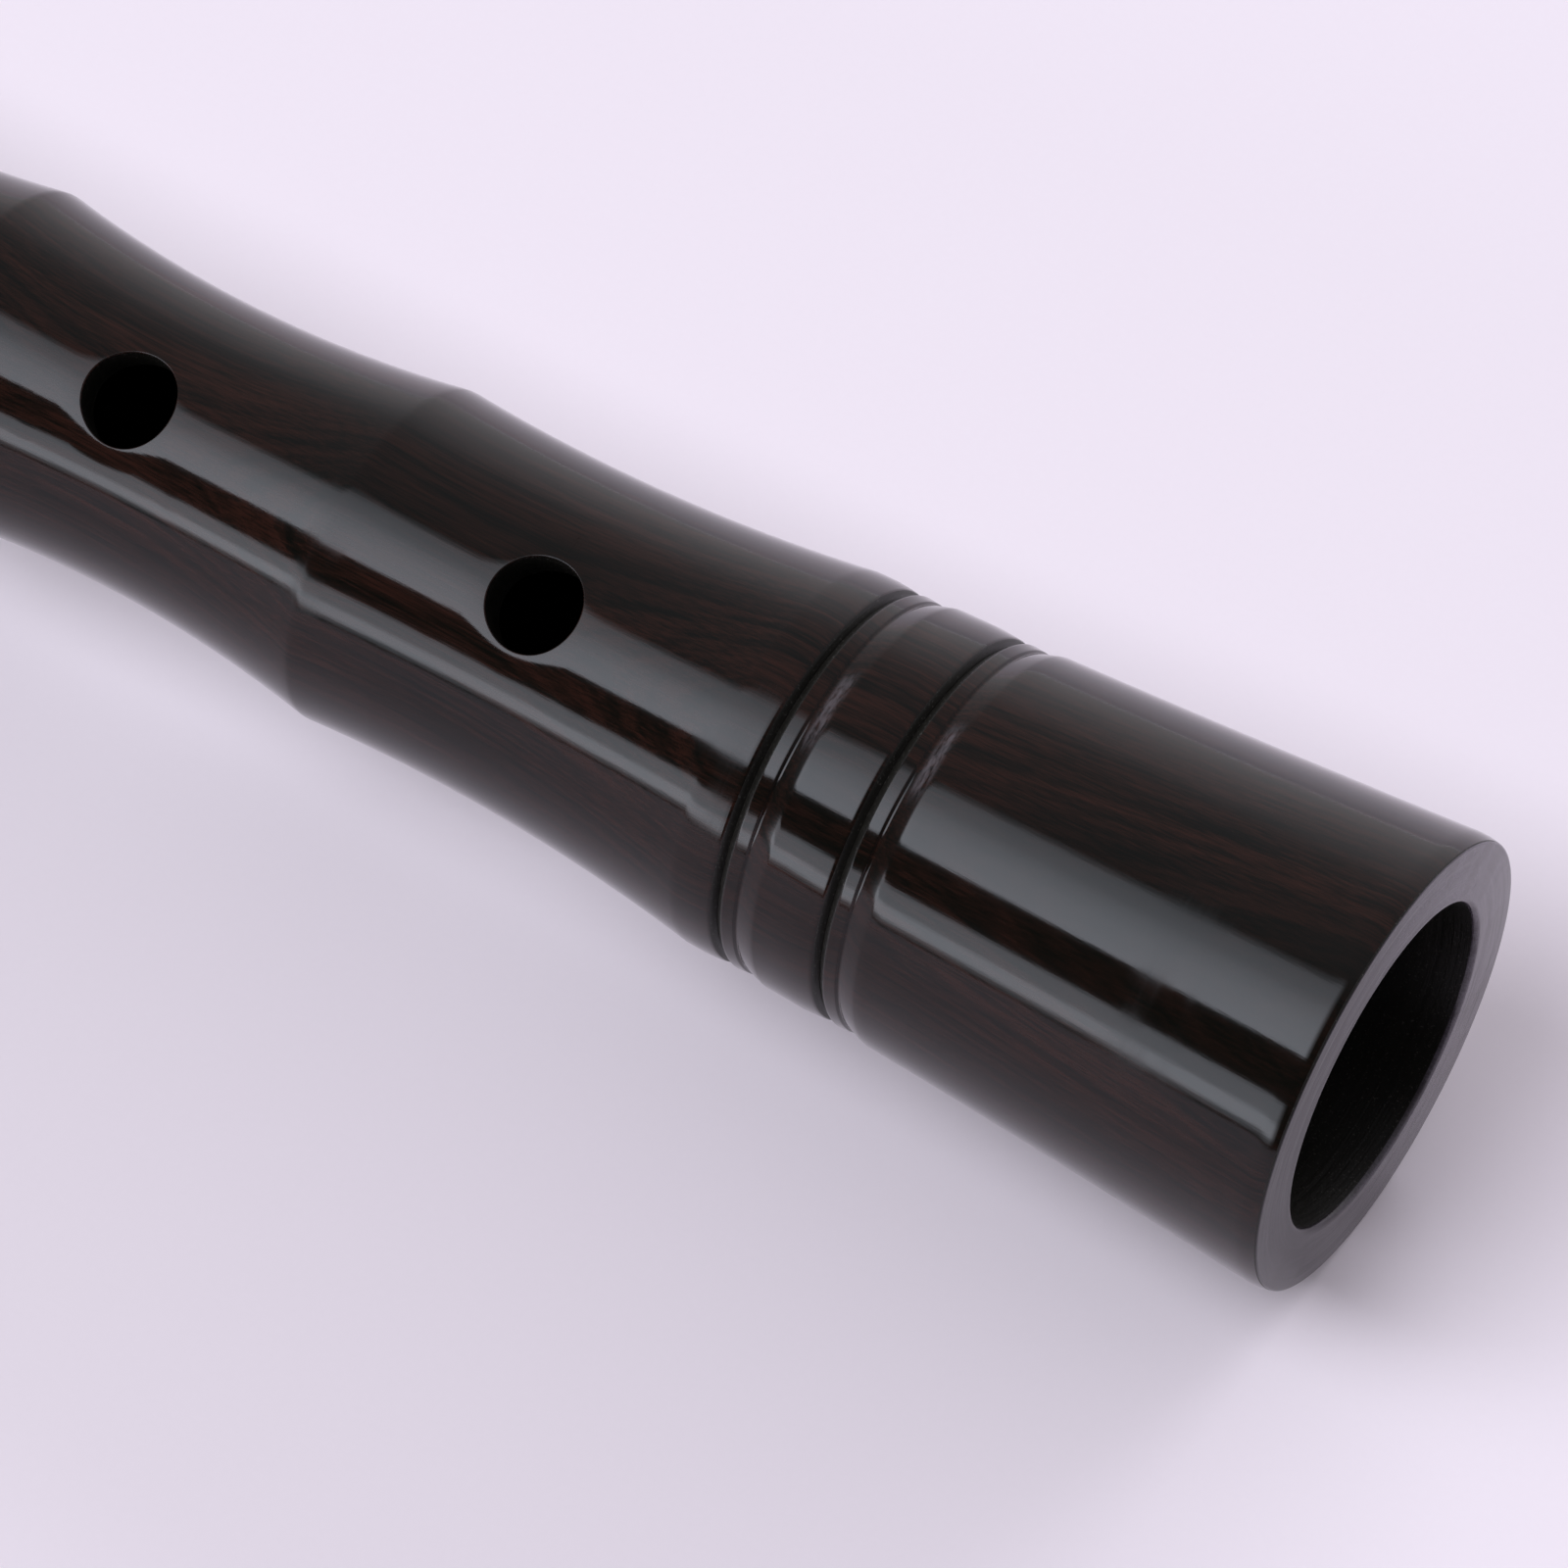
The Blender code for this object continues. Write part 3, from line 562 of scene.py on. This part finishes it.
sleeve = turned("sleeve_tube", [(sleeve_bore, sleeve_top), (sleeve_radius - 0.1 * mm, sleeve_top)]
                + rolled(sleeve_top - 0.85 * mm, 1.55 * mm, sleeve_radius, 0.49 * mm)
                + solder_fillet + flange_edge
                + [(flange_radius, flange_foot + 0.2 * mm), (flange_radius - 0.2 * mm, flange_foot),
                   (sleeve_radius, flange_foot), (sleeve_radius, socket_floor + seat_gap),
                   (sleeve_bore, socket_floor + seat_gap)], 128, spun_brass)
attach(sleeve, "sleeve")
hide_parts("tuning_sleeve")

# The two corks are cut from sheet, glued round their tubes and greased. They show only when the tuning
# slide is drawn out or the sleeve is seen down the bore.
cut_cork = finish("cut_cork")
cells = cut_cork.node("ShaderNodeTexVoronoi", {}, {"Vector": cut_cork.place((0.7 * mm, 0.7 * mm, 0.7 * mm)),
                                                   "Scale": 1.0})
flecks = cut_cork.noise(cut_cork.place((1.6 * mm, 1.6 * mm, 1.6 * mm)), 4.0)
cork_tone = cut_cork.mix(cells, shade(0.50, 0.31, 0.17), shade(0.34, 0.19, 0.10))
cork_tone = cut_cork.mix(cut_cork.rise(flecks, 0.56, 0.66), cork_tone, shade(0.11, 0.055, 0.03))
cut_cork.set("BSDF_PRINCIPLED", {"Base Color": cork_tone, "Roughness": 0.62 + flecks * 0.25,
             "Normal": cut_cork.bump(cells, 0.04 * mm)})
for node, name, body, tube_radius in (("sleeve_cork", "sleeve_lapping", "sleeve", sleeve_radius),
                                      ("staple_cork", "staple_lapping", "staple", 3.2 * mm)):
    low, high = foot_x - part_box(node)[1][0], foot_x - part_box(node)[0][0]
    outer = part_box(node)[1][2] - axis_z
    lapping = turned(name, [(tube_radius + seat_gap, high), (outer - 0.25 * mm, high)]
                     + [(outer - 0.25 * mm * (1 - math.sin(turn)), high - 0.3 * mm * (1 - math.cos(turn)))
                        for turn in (0.5, 1.0, math.pi / 2)]
                     + [(outer - 0.25 * mm * (1 - math.cos(turn)), low + 0.3 * mm * (1 - math.sin(turn)))
                        for turn in (0.0, 0.6, 1.1, math.pi / 2)]
                     + [(tube_radius + seat_gap, low)], 96, cut_cork)
    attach(lapping, body)
    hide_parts(node)

# The staple is a rolled brass tube with a soldered seam, straight in its sleeve and drawn to a cone above
# it, where the disc's hub and the reed are pushed on.
staple_foot = foot_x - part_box("staple")[1][0]
staple_tip = foot_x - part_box("staple")[0][0]
staple_shoulder = staple_tip - 26.0 * mm
staple_foot_radius = 3.2 * mm
staple_tip_radius = 1.9 * mm
staple_wall = 0.5 * mm
staple = turned("staple_tube", [(staple_tip_radius - staple_wall, staple_tip),
                                (staple_tip_radius - 0.1 * mm, staple_tip),
                                (staple_tip_radius, staple_tip - 0.1 * mm),
                                (staple_foot_radius - 0.02 * mm, staple_shoulder + 0.5 * mm),
                                (staple_foot_radius, staple_shoulder),
                                (staple_foot_radius, staple_foot + 0.1 * mm),
                                (staple_foot_radius - 0.1 * mm, staple_foot),
                                (staple_foot_radius - staple_wall, staple_foot),
                                (staple_foot_radius - staple_wall, staple_shoulder)], 96, spun_brass)
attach(staple, "staple")
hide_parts("staple")

# The two beads are hollow, each pressed from sheet in two halves with a soldered seam round its middle
# and a plain collar at each end. Tarnish stays in the corners that a cloth can't reach.
bead_brass = finish("bead_brass")
bead_rings = bead_brass.turning_marks(0.08 * mm)
bead_clouding = bead_brass.noise(bead_brass.place((4 * mm, 3 * mm, 3 * mm)), 5.0, 0.62)
bead_tarnish = bead_brass.rise(bead_brass.off_axis(mm) + bead_clouding * 2.2, 5.2, 7.0, 0.85, 0.0)
bead_tarnish = bead_tarnish + bead_brass.rise(bead_clouding, 0.48, 0.66) * 0.4
bead_brass.set("BSDF_PRINCIPLED", {"Metallic": 1.0,
               "Base Color": bead_brass.mix(bead_tarnish, shade(0.86, 0.66, 0.31), shade(0.40, 0.24, 0.10)),
               "Roughness": 0.11 + bead_tarnish * 0.2 + bead_rings * 0.06,
               "Normal": bead_brass.bump(bead_rings, 0.001 * mm, bead_brass.bump(bead_clouding, 0.03 * mm))})
bead_bore = staple_foot_radius + seat_gap
for node, name, radius, collar in (("lower_bead", "lower_brass_bead", 8.0 * mm, 4.7 * mm),
                                   ("upper_bead", "upper_brass_bead", 6.0 * mm, 4.3 * mm)):
    middle = foot_x - (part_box(node)[0][0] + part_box(node)[1][0]) / 2
    half = math.sqrt(radius * radius - collar * collar)
    collar_length = 0.9 * mm
    reach = math.acos((collar + 0.15 * mm) / radius)
    dome = []
    for step in range(57):
        turn = reach * (1 - step / 28)
        seam = 0.08 * mm * math.exp(-(radius * turn / (0.16 * mm)) ** 2)
        flattened = min(1.0, (half - collar_length) / (radius * math.sin(reach)))
        dome.append(((radius - seam) * math.cos(turn), middle + radius * math.sin(turn) * flattened))
    bead = turned(name, [(bead_bore, middle + half), (collar - 0.12 * mm, middle + half),
                         (collar, middle + half - 0.12 * mm), (collar, middle + half - collar_length)]
                  + dome + [(collar, middle - half + collar_length), (collar, middle - half + 0.12 * mm),
                            (collar - 0.12 * mm, middle - half), (bead_bore, middle - half)], 128, bead_brass)
    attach(bead, "staple")
    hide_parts(node)

# The lip disc is spun from thin brass sheet, dished towards the lips, with a rolled rim. Its hub is a
# turned collar, pushed on the staple's cone, whose spigot is riveted over the disc.
hub_foot = foot_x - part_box("disc_hub")[1][0]
hub_top = foot_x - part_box("disc_hub")[0][0]
disc_seat = foot_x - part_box("air_disc")[1][0]


def cone_bore(station):
    """Bore that clears the staple's cone at a station."""
    share = (station - staple_shoulder) / (staple_tip - staple_shoulder)
    return staple_foot_radius + (staple_tip_radius - staple_foot_radius) * share + seat_gap


hub_radius = cone_bore(hub_foot) + 1.3 * mm
hub_shoulder = disc_seat - seat_gap
spigot_radius = cone_bore(hub_shoulder) + 0.6 * mm
hub = turned("hub_collar", [(cone_bore(hub_top), hub_top), (spigot_radius - 0.1 * mm, hub_top),
                            (spigot_radius, hub_top - 0.1 * mm), (spigot_radius, hub_shoulder),
                            (hub_radius - 0.25 * mm, hub_shoulder), (hub_radius, hub_shoulder - 0.25 * mm)]
             + scribed((hub_foot + hub_shoulder) / 2 + 0.4 * mm, hub_radius)
             + scribed((hub_foot + hub_shoulder) / 2 - 0.4 * mm, hub_radius)
             + [(hub_radius, hub_foot + 0.25 * mm), (hub_radius - 0.25 * mm, hub_foot),
                (cone_bore(hub_foot), hub_foot)], 96, spun_brass)
disc_radius = 15.0 * mm
disc_bore = spigot_radius + seat_gap
disc_dish = 1.2 * mm
disc_thickness = 0.8 * mm
sheet = 0.45 * mm
rim_radius = disc_thickness / 2
sheet_reach = disc_radius - 2 * rim_radius
sheet_line = [(disc_bore + (sheet_reach - disc_bore) * step / 18, disc_dish * (step / 18) ** 2)
              for step in range(19)]
upper_face = [(radius, disc_seat + height + (disc_thickness + sheet) / 2) for radius, height in sheet_line]
lower_face = [(radius, disc_seat + height + (disc_thickness - sheet) / 2) for radius, height in sheet_line]
rim = [(disc_radius - rim_radius + rim_radius * math.sin(turn),
        disc_seat + disc_dish + rim_radius + rim_radius * math.cos(turn))
       for turn in (math.radians(-45 + 270 * step / 16) for step in range(17))]
disc = turned("lip_disc", upper_face + rim + lower_face[::-1], 192, spun_brass)
for piece, node in ((hub, "disc_hub"), (disc, "air_disc")):
    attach(piece, "disc")
    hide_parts(node)

# The reed is a short tube of ripe cane. Its foot keeps the glossy bark, and above it the cane is scraped
# thin, soaked and pressed to a fan whose two blades stand a little apart at the tip.
scraped_cane = finish("scraped_cane")
reed_foot = foot_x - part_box("reed")[1][0]
reed_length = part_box("reed")[1][0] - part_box("reed")[0][0]
reed_seat = 8.0 * mm
reed_base_radius = 3.3 * mm
reed_tip_width = 10.5 * mm
reed_tip_thickness = 1.5 * mm
reed_foot_bore = cone_bore(reed_foot)
reed_centre = (foot_x - reed_foot, 0.0, axis_z)
cane_fibres = scraped_cane.noise(scraped_cane.place((7 * mm, 0.13 * mm, 0.13 * mm)), 4.0, 0.65)
cane_bands = scraped_cane.noise(scraped_cane.place((14 * mm, 0.9 * mm, 0.9 * mm)), 3.0)
blotches = scraped_cane.noise(scraped_cane.place((2.4 * mm, 1.6 * mm, 1.6 * mm)), 4.0)
up_reed = 0.0 - scraped_cane.part(scraped_cane.place((mm, mm, mm), centre=reed_centre), 0)
scraped = scraped_cane.rise(up_reed + cane_fibres * 1.6, reed_seat / mm + 0.6, reed_seat / mm + 1.5)
bark = scraped_cane.mix(cane_bands, shade(0.62, 0.40, 0.13), shade(0.42, 0.24, 0.07))
bark = scraped_cane.mix(scraped_cane.rise(blotches, 0.56, 0.70), bark, shade(0.19, 0.095, 0.03))
pith = scraped_cane.mix(cane_fibres, shade(0.78, 0.62, 0.34), shade(0.57, 0.38, 0.16))
soaked = scraped_cane.rise(up_reed + blotches * 3, 21.5, 26.0)
pith = scraped_cane.mix(soaked * 0.7, pith, shade(0.34, 0.20, 0.08))
scraped_cane.set("BSDF_PRINCIPLED", {"Base Color": scraped_cane.mix(scraped, bark, pith),
                 "Roughness": 0.28 + scraped * 0.3 + cane_fibres * 0.12,
                 "Normal": scraped_cane.bump(cane_fibres, 0.03 * mm)})


def reed_outside(height):
    """Half width, half thickness and flatness of the reed's outside at a height above its foot."""
    share = max(0.0, (height - reed_seat) / (reed_length - reed_seat))
    eased = share * share * (3 - 2 * share)
    return (reed_base_radius + (reed_tip_width / 2 - reed_base_radius) * eased,
            reed_base_radius + (reed_tip_thickness / 2 - reed_base_radius) * eased, eased)


def reed_loop(shape, height, wall):
    """One edge loop of the reed, a circle at its foot and two shallow arcs at its tip."""
    half_width, half_thickness, eased = reed_outside(height)
    made = bmesh.ops.create_circle(shape, segments=72, radius=1.0)
    for vert in made["verts"]:
        pinch = abs(vert.co.y) ** (0.45 * eased)
        width, depth = vert.co.x * (half_width - wall), vert.co.y * pinch * (half_thickness - wall)
        out, side = Vector((0.0, -0.430, 0.903)), Vector((0.0, 0.903, 0.430))
        vert.co = Vector((reed_centre[0] - height, 0.0, axis_z)) + side * width + out * depth
    return list({edge for vert in made["verts"] for edge in vert.link_edges})


def reed_wall(height):
    """Wall of the cane, scraped thinner towards the tip."""
    foot_wall = reed_base_radius - reed_foot_bore
    share = min(1.0, max(0.0, (height - reed_seat + 2 * mm) / (reed_length - reed_seat)))
    return foot_wall + (0.26 * mm - foot_wall) * min(1.0, 2 * share)


heights = [0.0, 0.15 * mm, 2 * mm, 4 * mm, 6 * mm] + [reed_seat + (reed_length - reed_seat) * step / 20
                                                      for step in range(21)]
shape = bmesh.new()
loops = [reed_loop(shape, height, 0.12 * mm if height == 0 else 0.0) for height in heights]
loops += [reed_loop(shape, height, reed_wall(height)) for height in reversed(heights)]
for first, second in zip(loops, loops[1:] + loops[:1]):
    bmesh.ops.bridge_loops(shape, edges=first + second)
bmesh.ops.recalc_face_normals(shape, faces=shape.faces)
reed = keep("cane_reed", shape, scraped_cane)
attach(reed, "reed")
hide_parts("reed")

# The binding is one length of soft copper wire, wound round the reed's base and cut off at both ends.
copper_wire = finish("copper_wire")
tinge = copper_wire.noise(copper_wire.place((1.2 * mm, 0.8 * mm, 0.8 * mm)), 3.0)
copper_wire.set("BSDF_PRINCIPLED", {"Metallic": 1.0,
                "Base Color": copper_wire.mix(tinge, shade(0.93, 0.50, 0.31), shade(0.52, 0.20, 0.10)),
                "Roughness": 0.16 + tinge * 0.2, "Normal": copper_wire.bump(tinge, 0.004 * mm)})
wire_radius = 0.22 * mm
wire_pitch = 0.9 * mm
wire_loops = 6
loop_points = 24
coil_radius = reed_base_radius + seat_gap + wire_radius
coil_foot = reed_foot + 1.2 * mm
path = []
for step in range(wire_loops * loop_points + 1):
    turn = math.tau * step / loop_points + math.radians(90) - hole_tilt
    path.append(Vector((foot_x - coil_foot - wire_pitch * step / loop_points,
                        -coil_radius * math.cos(turn), axis_z + coil_radius * math.sin(turn))))
curve = bpy.data.curves.new("binding_wire", "CURVE")
curve.dimensions = "3D"
curve.bevel_depth = wire_radius
curve.bevel_resolution = 3
curve.use_fill_caps = True
spline = curve.splines.new("NURBS")
spline.points.add(len(path) - 1)
for point, spot in zip(spline.points, path):
    point.co = (*spot, 1.0)
spline.use_endpoint_u = True
spline.order_u = 4
spline.resolution_u = 2
wire = bpy.data.objects.new("binding_wire", curve)
wire.data.materials.append(copper_wire.material)
bpy.context.scene.collection.objects.link(wire)
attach(wire, "reed")
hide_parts("reed_wire")

# The instrument lies on a pale seamless sheet, under one long softbox over the maker's shoulder and a
# low strip in front, both parallel to it, with a low lamp behind it that shows in no reflection.
pale_sheet = finish("pale_sheet")
fuzz = pale_sheet.noise(pale_sheet.place((0.5 * mm, 0.5 * mm, 0.5 * mm)), 3.0)
# The sheet's colour is painted darker from 0.12 m to 0.58 m out from the foot: a painted falloff of light round the
# instrument.
painted_falloff_from_foot = pale_sheet.node("ShaderNodeVectorMath", {"operation": "LENGTH"},
                            {0: pale_sheet.place((1.0, 1.0, 1.0), centre=(foot_x, 0.0, 0.0))}, 1)
paper = pale_sheet.mix(fuzz, shade(0.928, 0.846, 0.906), shade(0.912, 0.831, 0.890))
paper = pale_sheet.mix(pale_sheet.rise(painted_falloff_from_foot, 0.12, 0.58), paper, shade(0.826, 0.753, 0.806))
pale_sheet.set("BSDF_PRINCIPLED", {"Base Color": paper, "Roughness": 0.85})
shape = bmesh.new()
bmesh.ops.create_grid(shape, x_segments=1, y_segments=1, size=3.0)
floor = keep("floor", shape, pale_sheet)


full_glow = 8.0


def softbox(name, place, facing, length, width, glow):
    """A box light, its length along X, with its glow given from its back to its front."""
    lamp = bpy.data.lights.new(name, "AREA")
    lamp.shape = "RECTANGLE"
    lamp.size = length
    lamp.size_y = width
    lamp.energy = full_glow * length * width * math.pi
    shading = Shading(lamp)
    spot = shading.node("ShaderNodeNewGeometry", {}, {}, "Parametric")
    dimmer_ends = shading.rise(abs(shading.part(spot, 0) - 0.5), 0.36, 0.5, 1.0, 0.15)
    shading.set("EMISSION", {"Color": shade(0.90, 0.92, 1.0),
                             "Strength": dimmer_ends * shading.node("ShaderNodeValToRGB", {"stops": glow},
                                                                    {0: shading.part(spot, 1)})})
    holder = bpy.data.objects.new(name, lamp)
    bpy.context.scene.collection.objects.link(holder)
    way = Vector(facing).normalized()
    back = way.cross(Vector((1.0, 0.0, 0.0))).normalized()
    turn = Matrix((back.cross(way), back, way)).transposed().to_4x4()
    holder.matrix_world = Matrix.Translation(Vector(place)) @ turn
    holder.visible_camera = False


def grey(level):
    """A glow or sky level as a share of the full glow."""
    return shade(level / full_glow, level / full_glow, level / full_glow)


softbox("shoulder_softbox", (-2.1, -1.679, 3.537), (0.0, -0.458, 0.889), 4.9, 2.75,
        [(0.0, grey(6.6)), (0.35, grey(5.55)), (0.56, grey(4.3)), (0.68, grey(3.2)), (0.905, grey(2.3)),
         (0.93, grey(1.0)), (1.0, grey(0.5))])
softbox("front_strip", (-2.1, -3.83, 0.815), (0.0, -0.978, 0.208), 4.9, 1.47,
        [(0.0, grey(1.4)), (0.10, grey(1.6)), (0.19, grey(6.4)), (0.47, grey(6.4)), (0.54, grey(3.8)),
         (0.92, grey(3.6)), (1.0, grey(1.6))])
softbox("back_lamp", (0.0, 2.94, 0.74), (0.0, 0.97, 0.24), 3.0, 1.3, [(0.0, grey(7.4)), (1.0, grey(7.4))])
bpy.data.objects["back_lamp"].visible_glossy = False

sky = bpy.data.worlds.new("studio")
bpy.context.scene.world = sky
room = Shading(sky)
look = room.node("ShaderNodeTexCoord", {}, {}, "Generated")
to_back = room.part(look, 1) * 0.5 + 0.5
level = room.node("ShaderNodeValToRGB", {"stops": [
    (0.0, grey(0.05)), (0.20, grey(0.05)), (0.34, grey(0.12)), (0.50, grey(0.36)), (0.76, grey(0.45)),
    (0.85, grey(0.60)), (0.90, grey(0.85)), (0.965, grey(1.0))]}, {0: to_back}) * full_glow
seen = room.node("ShaderNodeLightPath", {}, {}, "Is Camera Ray")
room.set("BACKGROUND", {"Color": shade(0.97, 0.94, 1.0), "Strength": level * (1 - seen) + seen * 0.9})

# The camera stands in front of the foot and looks down along the stem, as the photograph does.
heading = math.radians(32.845)
elevation = math.radians(53.1)
foot_right_of_centre = 2.358 * foot_radius
foot_below_centre = 1.111 * foot_radius
foot_distance = 31.668 * foot_radius
right = Vector((math.cos(heading), math.sin(heading), 0.0))
ahead = Vector((-math.sin(heading) * math.cos(elevation), math.cos(heading) * math.cos(elevation),
                -math.sin(elevation)))
above = right.cross(ahead)
stand = Vector(axis_centre) - right * foot_right_of_centre + above * foot_below_centre - ahead * foot_distance
eye = bpy.data.cameras.new("camera")
eye.sensor_width = 36.0
eye.lens = 185.5
camera = bpy.data.objects.new("camera", eye)
bpy.context.scene.collection.objects.link(camera)
camera.matrix_world = Matrix.Translation(stand) @ Matrix((right, above, -ahead)).transposed().to_4x4()
bpy.context.scene.camera = camera
bpy.context.scene.view_settings.view_transform = "Standard"
